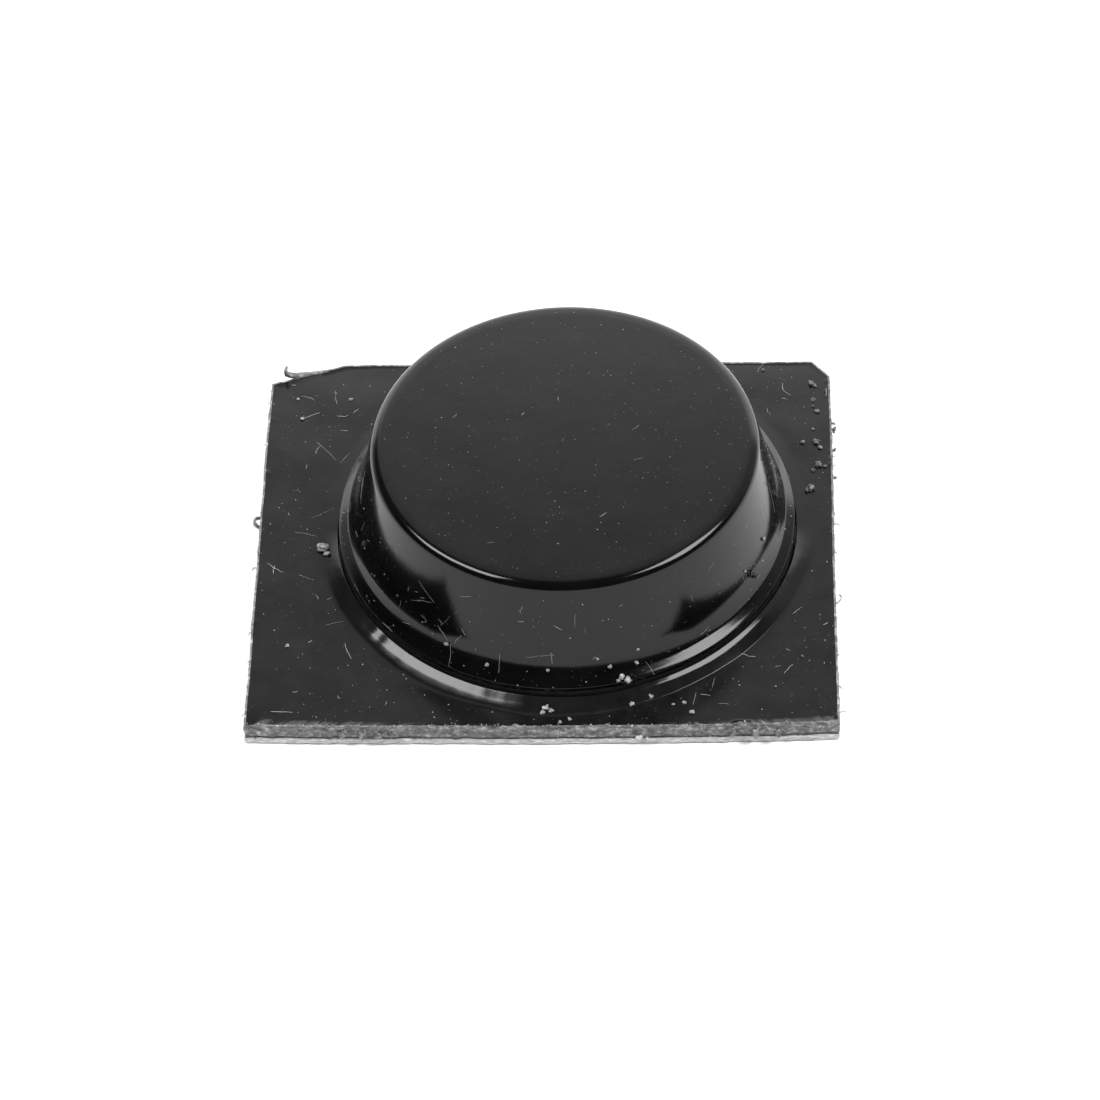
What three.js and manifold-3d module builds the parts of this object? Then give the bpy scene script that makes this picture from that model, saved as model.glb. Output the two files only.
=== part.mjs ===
// Self-adhesive bumper foot on the square piece of moulded sheet it was cut out with.
// Millimetres, +Z up. The origin is on the foot's axis, at the underside of the release liner.
//
// From the bottom up: a release liner, a film of adhesive, and a moulded rubber sheet whose
// button stands up in the middle. A round kiss cut goes through the rubber and the adhesive
// and stops at the liner, so the foot and its disc of adhesive peel off, and the rest of the
// sheet stays behind as a waste web with a round hole.

import * as THREE from "three";
import { mergeVertices } from "three/addons/utils/BufferGeometryUtils.js";
import Module from "manifold-3d";

const wasm = await Module();
wasm.setup();

// Driving dimensions: the layers.
const linerThickness = 0.2;
const adhesiveThickness = 0.1;
const webThickness = 0.4;

// Driving dimensions: the foot.
const footRadius = 6.25; // the foot's die-cut edge
const buttonHeight = 3.44; // the button's flat top above the web
const topEdgeRadius = 0.28; // the small round between the flat top and the wall
const topRadius = 5.26; // the wall's radius just under that round
const wallDraft = 14; // degrees that the wall leans in towards the top
const flareStart = 1.31; // the height above the web where the wall starts to flare out
const flareRadius = 2.1; // the radius of the hollow flare
const flareEnd = 32; // degrees that the flare leans where it meets the brim
const brimLean = 55; // degrees that the narrow sloping brim outside the flare leans

// Driving dimensions: the kiss cut, and the raised bead beside it on the web.
const kerf = 0.04; // the gap the cut leaves all round
const beadHeight = 0.22; // how far the web stands up beside the cut
const beadShoulder = { reach: 0.19, height: 0.11 }; // where the slope of the bead turns gentler
const beadReach = 0.45; // how far out the bead runs down to the web's flat

// Driving dimensions: the hand-cut outline, measured from the foot's axis.
const leftReach = 8.5;
const rightReach = 7.3;
const frontReach = 7.05;
const rearReach = 6.27; // the rear cut runs close behind the foot and just nicks its edge
const frontBow = 0.12; // how far the front cut bows out at its middle
const rearLeftClip = { along: 2.1, across: 0.7 };
const rearRightClip = { along: 0.5, across: 0.6 };

// Facets.
const aroundFoot = 96;
const roundSteps = 5;
const flareSteps = 7;
const bowSteps = 6;

const adhesiveBase = linerThickness;
const rubberBase = adhesiveBase + adhesiveThickness;
const webTop = rubberBase + webThickness;
const holeRadius = footRadius + kerf;
const buttonTop = webTop + buttonHeight;

// Points of an arc about (x, y), with both ends, in degrees.
function arcPoints(x, y, radius, fromDegrees, toDegrees, steps) {
  const points = [];
  for (let i = 0; i <= steps; i += 1) {
    const angle = THREE.MathUtils.degToRad(fromDegrees + ((toDegrees - fromDegrees) * i) / steps);
    points.push(new THREE.Vector2(x + radius * Math.cos(angle), y + radius * Math.sin(angle)));
  }
  return points;
}

// The foot's half section, from the axis at its underside out and up to the axis at its top.
function footProfile() {
  const draft = THREE.MathUtils.degToRad(wallDraft);
  const lean = THREE.MathUtils.degToRad(brimLean);
  const roundX = topRadius - topEdgeRadius * Math.cos(draft);
  const roundZ = buttonTop - topEdgeRadius;
  const wallTop = roundZ + topEdgeRadius * Math.sin(draft);
  const wallFoot = webTop + flareStart;
  const wallFootRadius = topRadius + (wallTop - wallFoot) * Math.tan(draft);
  const flareX = wallFootRadius + flareRadius * Math.cos(draft);
  const flareZ = wallFoot + flareRadius * Math.sin(draft);
  const flare = arcPoints(flareX, flareZ, flareRadius, 180 + flareEnd, 180 + wallDraft, flareSteps);
  const edgeHeight = flare[0].y - (footRadius - flare[0].x) / Math.tan(lean);
  return [
    new THREE.Vector2(0, rubberBase),
    new THREE.Vector2(footRadius, rubberBase),
    new THREE.Vector2(footRadius, edgeHeight),
    ...flare,
    ...arcPoints(roundX, roundZ, topEdgeRadius, wallDraft, 90, roundSteps),
    new THREE.Vector2(0, buttonTop),
  ];
}

// The round the bead is turned from, from the axis at its underside out and up to its top.
function beadProfile() {
  const beadTop = webTop + beadHeight;
  return [
    new THREE.Vector2(0, rubberBase),
    new THREE.Vector2(holeRadius + beadReach, rubberBase),
    new THREE.Vector2(holeRadius + beadReach, webTop),
    new THREE.Vector2(holeRadius + beadShoulder.reach, webTop + beadShoulder.height),
    new THREE.Vector2(holeRadius, beadTop),
    new THREE.Vector2(0, beadTop),
  ];
}

// A lathe turns about Y, so its geometry is stood up to turn about Z.
function turnedSolid(profile) {
  const geometry = new THREE.LatheGeometry(profile, aroundFoot);
  geometry.rotateX(Math.PI / 2);
  return geometry;
}

// The outline that the knife left: three straight cuts and a front cut that bows out a little.
function sheetOutline() {
  const outline = new THREE.Shape();
  outline.moveTo(-leftReach, -frontReach);
  outline.quadraticCurveTo(0, -frontReach - 2 * frontBow, rightReach, -frontReach);
  outline.lineTo(rightReach, rearReach - rearRightClip.across);
  outline.lineTo(rightReach - rearRightClip.along, rearReach);
  outline.lineTo(-leftReach + rearLeftClip.along, rearReach);
  outline.lineTo(-leftReach, rearReach - rearLeftClip.across);
  outline.closePath();
  return outline;
}

// One layer of the sheet, with the knife's outline.
function sheetLayer(base, thickness) {
  const geometry = new THREE.ExtrudeGeometry(sheetOutline(), {
    depth: thickness,
    bevelEnabled: false,
    curveSegments: bowSteps,
  });
  geometry.translate(0, 0, base);
  return geometry;
}

// The whole stack's outline as a solid, taller and deeper than the part.
function outlinePrism() {
  const geometry = new THREE.ExtrudeGeometry(sheetOutline(), {
    depth: 3 * buttonTop,
    bevelEnabled: false,
    curveSegments: bowSteps,
  });
  geometry.translate(0, 0, -buttonTop);
  return geometry;
}

function toManifold(geometry) {
  const bare = geometry.clone();
  bare.deleteAttribute("normal");
  bare.deleteAttribute("uv");
  const merged = mergeVertices(bare, 1e-5);
  const vertProperties = new Float32Array(merged.attributes.position.array);
  const triVerts = new Uint32Array(merged.index.array);
  return new wasm.Manifold(new wasm.Mesh({ numProp: 3, vertProperties, triVerts }));
}

function fromManifold(solid) {
  const mesh = solid.getMesh();
  const geometry = new THREE.BufferGeometry();
  geometry.setAttribute("position", new THREE.BufferAttribute(mesh.vertProperties, 3));
  geometry.setIndex(new THREE.BufferAttribute(mesh.triVerts, 1));
  geometry.computeVertexNormals();
  return geometry;
}

// A turned solid with what stands past the knife's outline cut away.
function trimmedTurnedSolid(profile) {
  return fromManifold(toManifold(turnedSolid(profile)).intersect(toManifold(outlinePrism())));
}

// The drill that opens the web and its adhesive round the foot. It reaches past the rear cut, so
// the ring that it leaves is open there.
function drilled(solid) {
  const drill = new THREE.CylinderGeometry(holeRadius, holeRadius, 3 * buttonTop, aroundFoot);
  drill.rotateX(Math.PI / 2);
  return fromManifold(solid.subtract(toManifold(drill)));
}

function webSheet() {
  const bead = toManifold(turnedSolid(beadProfile())).intersect(toManifold(outlinePrism()));
  return drilled(toManifold(sheetLayer(rubberBase, webThickness)).add(bead));
}

function part(name, geometry, material) {
  const mesh = new THREE.Mesh(geometry, material);
  mesh.name = name;
  return mesh;
}

const blackRubber = new THREE.MeshStandardMaterial({ color: 0x0c0c0d, roughness: 0.16, metalness: 0 });
const blackAdhesive = new THREE.MeshStandardMaterial({ color: 0x161616, roughness: 0.5, metalness: 0 });
const linerPaper = new THREE.MeshStandardMaterial({ color: 0xd8d8d6, roughness: 0.7, metalness: 0 });

const foot = new THREE.Group();
foot.add(part("bumper_foot", trimmedTurnedSolid(footProfile()), blackRubber));
const adhesiveDisc = [
  new THREE.Vector2(0, adhesiveBase),
  new THREE.Vector2(footRadius, adhesiveBase),
  new THREE.Vector2(footRadius, rubberBase),
  new THREE.Vector2(0, rubberBase),
];
foot.add(part("foot_adhesive", trimmedTurnedSolid(adhesiveDisc), blackAdhesive));

const web = new THREE.Group();
web.add(part("waste_web", webSheet(), blackRubber));
const adhesiveLayer = toManifold(sheetLayer(adhesiveBase, adhesiveThickness));
web.add(part("web_adhesive", drilled(adhesiveLayer), blackAdhesive));

const group = new THREE.Group();
group.add(part("release_liner", sheetLayer(0, linerThickness), linerPaper));
group.add(foot);
group.add(web);

export default group;
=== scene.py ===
"""Looks for the self-adhesive bumper foot on its hand-cut square of moulded sheet.

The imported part's own frame: Z up along the foot's axis, the liner's underside at Z 0, the front
cut towards -Y. Sizes here are in millimetres, and MM turns them to the scene's metres.
"""

import random
from math import atan2, cos, exp, hypot, pi, radians, sin, sqrt, tan

import bpy
from mathutils import Matrix, Vector, noise


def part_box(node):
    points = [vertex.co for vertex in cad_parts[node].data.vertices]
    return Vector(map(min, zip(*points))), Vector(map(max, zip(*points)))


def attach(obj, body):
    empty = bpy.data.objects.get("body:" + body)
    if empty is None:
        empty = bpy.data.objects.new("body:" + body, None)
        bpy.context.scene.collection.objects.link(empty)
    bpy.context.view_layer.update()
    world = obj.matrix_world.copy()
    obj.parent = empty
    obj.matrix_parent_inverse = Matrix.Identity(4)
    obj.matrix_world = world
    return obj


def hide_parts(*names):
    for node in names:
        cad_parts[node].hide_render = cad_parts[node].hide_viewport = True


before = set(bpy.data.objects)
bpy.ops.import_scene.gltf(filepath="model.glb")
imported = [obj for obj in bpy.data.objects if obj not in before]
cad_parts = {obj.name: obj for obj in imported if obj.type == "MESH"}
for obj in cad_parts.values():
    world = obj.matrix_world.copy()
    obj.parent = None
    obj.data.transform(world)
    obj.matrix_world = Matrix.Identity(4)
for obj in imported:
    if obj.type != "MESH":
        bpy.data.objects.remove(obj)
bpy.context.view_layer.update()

MM = 0.001
TAU = 2 * pi

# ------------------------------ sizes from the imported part
liner_low, liner_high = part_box("release_liner")
film_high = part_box("web_adhesive")[1]
foot_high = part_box("bumper_foot")[1]

LEFT = -liner_low.x / MM
RIGHT = liner_high.x / MM
REAR = liner_high.y / MM
LINER_TOP = liner_high.z / MM
RUBBER_BASE = film_high.z / MM
FOOT_RADIUS = foot_high.x / MM
BUTTON_TOP = foot_high.z / MM

# ------------------------------ sizes of the part
WEB_THICKNESS = 0.4
KERF = 0.04  # the gap that the kiss cut leaves
TOP_EDGE_RADIUS = 0.28
TOP_RADIUS = 5.26  # the wall's radius just under the round of the top edge
WALL_DRAFT = radians(14)
FLARE_START = 1.31  # where the wall starts to flare out, over the web
FLARE_RADIUS = 2.1
FLARE_END = radians(32)
BRIM_LEAN = radians(55)
CREASE_RADIUS = 6.0  # about where the flare meets the brim
BEAD_HEIGHT = 0.22
BEAD_SHOULDER_REACH = 0.21  # where the slope of the bead turns gentler, out from the kiss cut
BEAD_SHOULDER_DROP = 0.115  # and how far down from its crest
BEAD_REACH = 0.45
FRONT = 7.05
FRONT_BOW = 0.12
REAR_LEFT_CLIP = (2.1, 0.7)
REAR_RIGHT_CLIP = (0.5, 0.6)

WEB_TOP = RUBBER_BASE + WEB_THICKNESS
HOLE_RADIUS = FOOT_RADIUS + KERF

# ------------------------------ small faults of the real one
CREASE_ROUND = 0.03
EDGE_ROUND = 0.03  # the soft upper edge of the foot's die cut
CUT_SHIFT = 0.03  # the kiss cut is this far to the left of the foot's axis
SHIFT_START = 0.6  # past the top radius, where the foot's profile starts to follow that shift
SHIFT_RUN = 0.3
BRIM_SAG = 0.06  # the edge of the brim hangs this much lower on the left
SAG_RUN = 4
SMOOTH_RADIUS = TOP_RADIUS - 0.5  # inside this the flat top has no waves
# Waves in a surface, the slow ones and the quick ones, each as (height, size).
MOULD_WAVES = ((0.006, 2.5), (0.002, 0.8))
DIE_CUT_WAVES = ((0.012, 0.5), (0.006, 0.12))
KNIFE_WAVES = ((0.03, 3.0), (0.012, 0.7))
# The torn surface of a cut face.
COARSE_TEAR = 0.32
FINE_TEAR = 0.09
TEAR_STRETCH = 2.2
CORNER_TEAR_DEPTH = 0.07
CORNER_TEAR_REACH = 0.25
# The burr along the web's upper edge.
BURR_RUN = 0.9
BURR_WIDTH = 0.22
BURR_TIP_WIDTH = 0.08
FRONT_BURR = 0.34
FRONT_LIP = 0.012
CHIP_DEPTH = 0.05
SIDE_BURR = 0.4
SIDE_LIP = 0.008
SIDE_BURR_FROM = 0.15  # other cuts have burrs only where the slow wave is above this
FRONT_STRIP = 0.3  # this close to the line of the front, a cut counts as the front cut

# ------------------------------ steps of the meshes
OUTLINE_STEP = 0.045
FRONT_STEPS = 24
AROUND_FOOT = 480
TOP_STEPS = 24
EDGE_STEPS = 14
WALL_STEPS = 16
FLARE_STEPS = 24
BRIM_STEPS = 6
CORNER_STEPS = 5
DIE_CUT_STEPS = 8
FLAT_STEPS = 14
CUT_STEPS = 9
FILM_STEPS = 4
LINER_EDGE_STEPS = 6
LINER_RINGS = 8

SEED_STEP = (31.7, -17.3, 11.9)


def wander(point, size, seed):
    """Smooth noise from about -1 to 1 that changes over the given size. Each use has its seed."""
    shift = Vector([step * seed for step in SEED_STEP])
    return noise.noise(Vector(point) / size + shift)


def waves(point, slow_and_quick, seed):
    """Slow and quick waves added up, each given as (height, size)."""
    (slow_height, slow_size), (quick_height, quick_size) = slow_and_quick
    slow = slow_height * wander(point, slow_size, seed)
    return slow + quick_height * wander(point, quick_size, seed + 1)


def make_object(name, verts, faces, materials, slots=None, smooth=True, sharp=None):
    """An object from points in millimetres. Edges sharper than sharp degrees stay sharp."""
    mesh = bpy.data.meshes.new(name)
    mesh.from_pydata([Vector(v) * MM for v in verts], [], faces)
    for material in materials:
        mesh.materials.append(material)
    if slots:
        mesh.polygons.foreach_set("material_index", slots)
    mesh.polygons.foreach_set("use_smooth", [smooth] * len(mesh.polygons))
    if sharp is not None:
        mesh.set_sharp_from_angle(angle=radians(sharp))
    mesh.validate()
    mesh.update()
    made = bpy.data.objects.new(name, mesh)
    bpy.context.scene.collection.objects.link(made)
    return made


def pole_faces(rings, around):
    """Faces over a first point, rings of points one below the other, and a last point."""
    faces = []
    lowest = 1 + (rings - 1) * around
    for i in range(around):
        j = (i + 1) % around
        faces.append((0, 1 + i, 1 + j))
        for ring in range(rings - 1):
            here = 1 + ring * around
            below = here + around
            faces.append((here + i, below + i, below + j, here + j))
        faces.append((lowest + around, lowest + j, lowest + i))
    return faces


# ------------------------------ materials
SKIN_IOR = 1.36
TORN_IOR = 1.5
ROUGH_SPREAD = 0.12
NOISE_LOW = 0.3  # nearly all of a noise texture's values lie between these two
NOISE_HIGH = 0.7


def new_material(name):
    material = bpy.data.materials.new(name)
    material.use_nodes = True
    return material, material.node_tree.nodes, material.node_tree.links


def noise_node(nodes, links, scale, detail, rough, stretch=None):
    """Noise over the object's own coordinates. Scale is in waves per millimetre."""
    coords = nodes.new("ShaderNodeTexCoord")
    source = coords.outputs["Object"]
    if stretch:
        mapping = nodes.new("ShaderNodeMapping")
        mapping.inputs["Scale"].default_value = stretch
        links.new(source, mapping.inputs["Vector"])
        source = mapping.outputs["Vector"]
    made = nodes.new("ShaderNodeTexNoise")
    made.inputs["Scale"].default_value = scale / MM
    made.inputs["Detail"].default_value = detail
    made.inputs["Roughness"].default_value = rough
    links.new(source, made.inputs["Vector"])
    return made


def ramp_node(nodes, links, source, stops):
    """A ramp of greys, from stops of (place, grey)."""
    ramp = nodes.new("ShaderNodeValToRGB")
    elements = ramp.color_ramp.elements
    while len(elements) < len(stops):
        elements.new(0.5)
    for element, (place, value) in zip(elements, stops):
        element.position = place
        element.color = (value, value, value, 1)
    links.new(source, ramp.inputs["Fac"])
    return ramp


def set_range(node, source, target):
    """Maps one (low, high) onto the other."""
    names = ("From Min", "From Max", "To Min", "To Max")
    for name, value in zip(names, source + target):
        node.inputs[name].default_value = value


def range_node(nodes, links, source, low, high):
    """Spreads a noise texture's values from low to high."""
    ranged = nodes.new("ShaderNodeMapRange")
    set_range(ranged, (NOISE_LOW, NOISE_HIGH), (low, high))
    links.new(source, ranged.inputs["Value"])
    return ranged


def bump_node(nodes, links, source, distance, below=None):
    """Bumps of the given height in millimetres, on top of the bumps below them."""
    bump = nodes.new("ShaderNodeBump")
    bump.inputs["Strength"].default_value = 1.0
    bump.inputs["Distance"].default_value = distance * MM
    links.new(source, bump.inputs["Height"])
    if below:
        links.new(below.outputs["Normal"], bump.inputs["Normal"])
    return bump


def moulded_rubber(name, shade, rough_low, rough_high, ripple, grain):
    """Black rubber with a mould-polished skin: faint smears, slow ripples and a fine grain."""
    material, nodes, links = new_material(name)
    shader = nodes["Principled BSDF"]
    shader.inputs["IOR"].default_value = SKIN_IOR
    tone = noise_node(nodes, links, scale=1.6, detail=6.0, rough=0.65)
    stops = [(NOISE_LOW, 0.6 * shade), (NOISE_HIGH, 1.4 * shade)]
    colour = ramp_node(nodes, links, tone.outputs["Fac"], stops)
    links.new(colour.outputs["Color"], shader.inputs["Base Color"])
    smear = noise_node(nodes, links, scale=0.5, detail=5.0, rough=0.6)
    rough = range_node(nodes, links, smear.outputs["Fac"], rough_low, rough_high)
    links.new(rough.outputs["Result"], shader.inputs["Roughness"])
    slow = noise_node(nodes, links, scale=0.9, detail=1.0, rough=0.4)
    dimple = noise_node(nodes, links, scale=3.6, detail=3.0, rough=0.6)
    fine = noise_node(nodes, links, scale=14.0, detail=3.0, rough=0.6)
    first = bump_node(nodes, links, slow.outputs["Fac"], ripple)
    second = bump_node(nodes, links, dimple.outputs["Fac"], ripple / 3, first)
    third = bump_node(nodes, links, fine.outputs["Fac"], grain, second)
    links.new(third.outputs["Normal"], shader.inputs["Normal"])
    return material


def torn_material(name, stops, rough, bump, stretch=None, scale=9.0):
    """A mottled grey surface with a coarse grain, drawn out by stretch where a knife cut it."""
    material, nodes, links = new_material(name)
    shader = nodes["Principled BSDF"]
    shader.inputs["IOR"].default_value = TORN_IOR
    mottle = noise_node(nodes, links, scale, detail=8.0, rough=0.7, stretch=stretch)
    colour = ramp_node(nodes, links, mottle.outputs["Fac"], stops)
    links.new(colour.outputs["Color"], shader.inputs["Base Color"])
    patch = noise_node(nodes, links, scale=2.3, detail=3.0, rough=0.6)
    low = rough - ROUGH_SPREAD
    ranged = range_node(nodes, links, patch.outputs["Fac"], low, rough + ROUGH_SPREAD)
    links.new(ranged.outputs["Result"], shader.inputs["Roughness"])
    grain = noise_node(nodes, links, scale=24.0, detail=5.0, rough=0.7, stretch=stretch)
    bumps = bump_node(nodes, links, grain.outputs["Fac"], bump)
    links.new(bumps.outputs["Normal"], shader.inputs["Normal"])
    return material


foot_skin = moulded_rubber(
    "foot_skin", shade=0.0022, rough_low=0.1, rough_high=0.13, ripple=0.0016, grain=0.00028
)
web_skin = moulded_rubber(
    "web_skin", shade=0.0065, rough_low=0.11, rough_high=0.15, ripple=0.002, grain=0.0004
)
cut_stops = [(0.3, 0.02), (0.42, 0.08), (0.54, 0.18), (0.68, 0.55)]
cut_rubber = torn_material("cut_rubber", cut_stops, 0.6, 0.02, stretch=(1, 1, 1.6), scale=4.5)
die_stops = [(0.35, 0.006), (0.65, 0.016)]
die_cut_rubber = torn_material("die_cut_rubber", die_stops, 0.34, 0.002, stretch=(0.6, 0.6, 2.0))
film_stops = [(0.3, 0.008), (0.55, 0.03), (0.8, 0.12)]
adhesive_film = torn_material("adhesive_film", film_stops, 0.42, 0.004, stretch=(1, 1, 1.5))
paper_stops = [(0.3, 0.2), (0.45, 0.42), (0.65, 0.8)]
liner_paper = torn_material("liner_paper", paper_stops, 0.75, 0.01, stretch=(0.6, 0.6, 3.0), scale=7.0)
face_stops = [(0.3, 0.6), (0.5, 0.66), (0.7, 0.71)]
liner_face = torn_material("liner_face", face_stops, 0.55, 0.002, scale=1.5)
lint_fibre = torn_material("lint_fibre", [(0.3, 0.25), (0.7, 0.6)], 0.6, 0.002)
dust_grain = torn_material("dust_grain", [(0.3, 0.1), (0.7, 0.5)], 0.6, 0.003)
rubber_crumb = torn_material("rubber_crumb", [(0.3, 0.02), (0.5, 0.07), (0.75, 0.3)], 0.32, 0.006)
torn_crumb = torn_material("torn_crumb", [(0.3, 0.03), (0.5, 0.13), (0.7, 0.5)], 0.45, 0.006)
pale_crumb = torn_material("pale_crumb", [(0.3, 0.07), (0.5, 0.25), (0.72, 0.6)], 0.5, 0.006)


# ------------------------------ the foot
def arc(x, y, radius, start, end, steps):
    points = []
    for i in range(steps + 1):
        angle = start + (end - start) * i / steps
        points.append((x + radius * cos(angle), y + radius * sin(angle)))
    return points


def soft_corner(before, corner, after, size, steps):
    """A small curve in place of a corner."""
    start = Vector(corner) + (Vector(before) - Vector(corner)).normalized() * size
    end = Vector(corner) + (Vector(after) - Vector(corner)).normalized() * size
    points = []
    for i in range(steps + 1):
        t = i / steps
        spot = start * (1 - t) ** 2 + Vector(corner) * 2 * t * (1 - t) + end * t * t
        points.append((spot.x, spot.y))
    return points


def brim_point(crease, out):
    """The brim's point that lies this far out from the crease."""
    return (crease[0] + out, crease[1] - out / tan(BRIM_LEAN))


def foot_section():
    """The foot's half section as (radius, height), from the middle of its top down to its base."""
    round_x = TOP_RADIUS - TOP_EDGE_RADIUS * cos(WALL_DRAFT)
    round_z = BUTTON_TOP - TOP_EDGE_RADIUS
    wall_top = round_z + TOP_EDGE_RADIUS * sin(WALL_DRAFT)
    wall_foot = WEB_TOP + FLARE_START
    slope = tan(WALL_DRAFT)
    wall_foot_radius = TOP_RADIUS + (wall_top - wall_foot) * slope
    points = [(round_x * i / TOP_STEPS, BUTTON_TOP) for i in range(TOP_STEPS)]
    points += arc(round_x, round_z, TOP_EDGE_RADIUS, pi / 2, WALL_DRAFT, EDGE_STEPS)
    for i in range(1, WALL_STEPS):
        z = wall_top + (wall_foot - wall_top) * i / WALL_STEPS
        points.append((TOP_RADIUS + (wall_top - z) * slope, z))
    flare_x = wall_foot_radius + FLARE_RADIUS * cos(WALL_DRAFT)
    flare_z = wall_foot + FLARE_RADIUS * sin(WALL_DRAFT)
    turn = (pi + WALL_DRAFT, pi + FLARE_END)
    flare = arc(flare_x, flare_z, FLARE_RADIUS, *turn, FLARE_STEPS)
    points += flare[:-1]
    crease = flare[-1]
    crease_x, crease_z = crease
    down_brim = brim_point(crease, 0.2)
    points += soft_corner(flare[-2], crease, down_brim, CREASE_ROUND, CORNER_STEPS)
    for i in range(1, BRIM_STEPS):
        straight = FOOT_RADIUS - crease_x - CREASE_ROUND - EDGE_ROUND
        points.append(brim_point(crease, CREASE_ROUND + straight * i / BRIM_STEPS))
    lip = (FOOT_RADIUS, crease_z - (FOOT_RADIUS - crease_x) / tan(BRIM_LEAN))
    mid_brim = brim_point(crease, (FOOT_RADIUS - crease_x) / 2)
    points += soft_corner(mid_brim, lip, (FOOT_RADIUS, RUBBER_BASE), EDGE_ROUND, CORNER_STEPS)
    die_cut_top = lip[1] - EDGE_ROUND
    for i in range(1, DIE_CUT_STEPS + 1):
        z = die_cut_top + (RUBBER_BASE - die_cut_top) * i / DIE_CUT_STEPS
        points.append((FOOT_RADIUS, z))
    points.append((0.0, RUBBER_BASE))
    return points


SECTION = foot_section()
DIE_CUT_FROM = len(SECTION) - 1 - DIE_CUT_STEPS


def foot_point(angle, radius, height, row):
    """A point of the foot, with the small faults of the moulding and of the die cut."""
    around = Vector((cos(angle), sin(angle), 0))
    spot = around * radius + Vector((0, 0, height))
    push = 0.0
    if row >= DIE_CUT_FROM:
        push = waves(spot, DIE_CUT_WAVES, 3)
    elif radius > SMOOTH_RADIUS:
        push = waves(spot, MOULD_WAVES, 1)
    spot += around * push
    if radius > CREASE_RADIUS and row <= DIE_CUT_FROM:
        sag = BRIM_SAG * (radius - CREASE_RADIUS) / (FOOT_RADIUS - CREASE_RADIUS)
        spot.z -= sag * min(1.0, max(0.0, 0.5 - spot.x / SAG_RUN))
    if radius > TOP_RADIUS + SHIFT_START:
        spot.x -= CUT_SHIFT * min(1.0, (radius - TOP_RADIUS - SHIFT_START) / SHIFT_RUN)
    spot.y = min(spot.y, REAR)
    return spot


def build_foot():
    verts = [Vector((0, 0, BUTTON_TOP))]
    rows = SECTION[1:-1]
    for row, (radius, height) in enumerate(rows, start=1):
        for i in range(AROUND_FOOT):
            verts.append(foot_point(TAU * i / AROUND_FOOT, radius, height, row))
    verts.append(Vector((0, 0, RUBBER_BASE)))
    faces = pole_faces(len(rows), AROUND_FOOT)
    slots_down = [0] + [1 if row >= DIE_CUT_FROM else 0 for row in range(1, len(rows))] + [1]
    slots = slots_down * AROUND_FOOT
    made = make_object("foot_rubber", verts, faces, [foot_skin, die_cut_rubber], slots, sharp=40)
    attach(made, "foot")
    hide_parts("bumper_foot")


# ------------------------------ the hand-cut outline
def outline_corners():
    """Corners of the knife's outline, anticlockwise from the rear edge, with the bowed front."""
    opening = sqrt(HOLE_RADIUS**2 - REAR**2)
    corners = [
        (-opening, REAR),
        (-LEFT + REAR_LEFT_CLIP[0], REAR),
        (-LEFT, REAR - REAR_LEFT_CLIP[1]),
        (-LEFT, -FRONT),
    ]
    for i in range(1, FRONT_STEPS):
        t = i / FRONT_STEPS
        corners.append((-LEFT + (LEFT + RIGHT) * t, -FRONT - FRONT_BOW * 4 * t * (1 - t)))
    corners += [
        (RIGHT, -FRONT),
        (RIGHT, REAR - REAR_RIGHT_CLIP[1]),
        (RIGHT - REAR_RIGHT_CLIP[0], REAR),
        (opening, REAR),
    ]
    return corners


def resample(corners, step):
    """Evenly spaced points along the corners' line, with each corner kept."""
    points = []
    for (ax, ay), (bx, by) in zip(corners, corners[1:]):
        length = hypot(bx - ax, by - ay)
        count = max(1, round(length / step))
        for i in range(count):
            t = i / count
            points.append(Vector((ax + (bx - ax) * t, ay + (by - ay) * t)))
    points.append(Vector(corners[-1]))
    return points


def outward_normals(points, closed):
    """Directions out of the outline, each from the points two before it and two after it."""
    normals = []
    last = len(points) - 1
    for i in range(len(points)):
        before = points[(i - 2) % len(points)] if closed else points[max(0, i - 2)]
        after = points[(i + 2) % len(points)] if closed else points[min(last, i + 2)]
        along = (after - before).normalized()
        normals.append(Vector((along.y, -along.x)))
    return normals


OPEN_OUTLINE = resample(outline_corners(), OUTLINE_STEP)
OPEN_NORMALS = outward_normals(OPEN_OUTLINE, False)
REAR_POINTS = resample([tuple(OPEN_OUTLINE[-1]), tuple(OPEN_OUTLINE[0])], OUTLINE_STEP)[1:-1]
CLOSED_OUTLINE = OPEN_OUTLINE + REAR_POINTS
CLOSED_NORMALS = outward_normals(CLOSED_OUTLINE, True)


def front_cut(x):
    """About where the bowed front cut runs."""
    return -FRONT - FRONT_BOW * (1 - (x / LEFT) ** 2)


def knife_wander(x, y):
    """How far the knife strayed, the same in every layer."""
    return waves((x, y, 0), KNIFE_WAVES, 11)


def ragged(x, y, z, coarse, fine, seed):
    """The torn surface of a cut face, with coarse and fine bumps of the given heights."""
    heights = ((coarse, COARSE_TEAR), (fine, FINE_TEAR))
    return waves((x, y, TEAR_STRETCH * z), heights, seed)


def burr_wave(x, y):
    """How the burrs come and go along the cut, from about -1 to 1."""
    return wander((x, y, 0), BURR_RUN, 21)


def burr(x, y):
    """The ragged lip that the knife raised along the rubber's upper edge."""
    slow = burr_wave(x, y)
    tufts = max(0.0, wander((x, y, 0), BURR_WIDTH, 22))
    tufts += 0.5 * max(0.0, wander((x, y, 0), BURR_TIP_WIDTH, 24))
    if y > -FRONT + FRONT_STRIP:
        return SIDE_LIP + SIDE_BURR * max(0.0, slow - SIDE_BURR_FROM) * tufts
    chips = max(0.0, wander((x, y, 0), BURR_WIDTH, 23))
    share = 0.5 + 0.5 * slow
    return FRONT_LIP + FRONT_BURR * share * tufts - CHIP_DEPTH * share * chips


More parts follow.
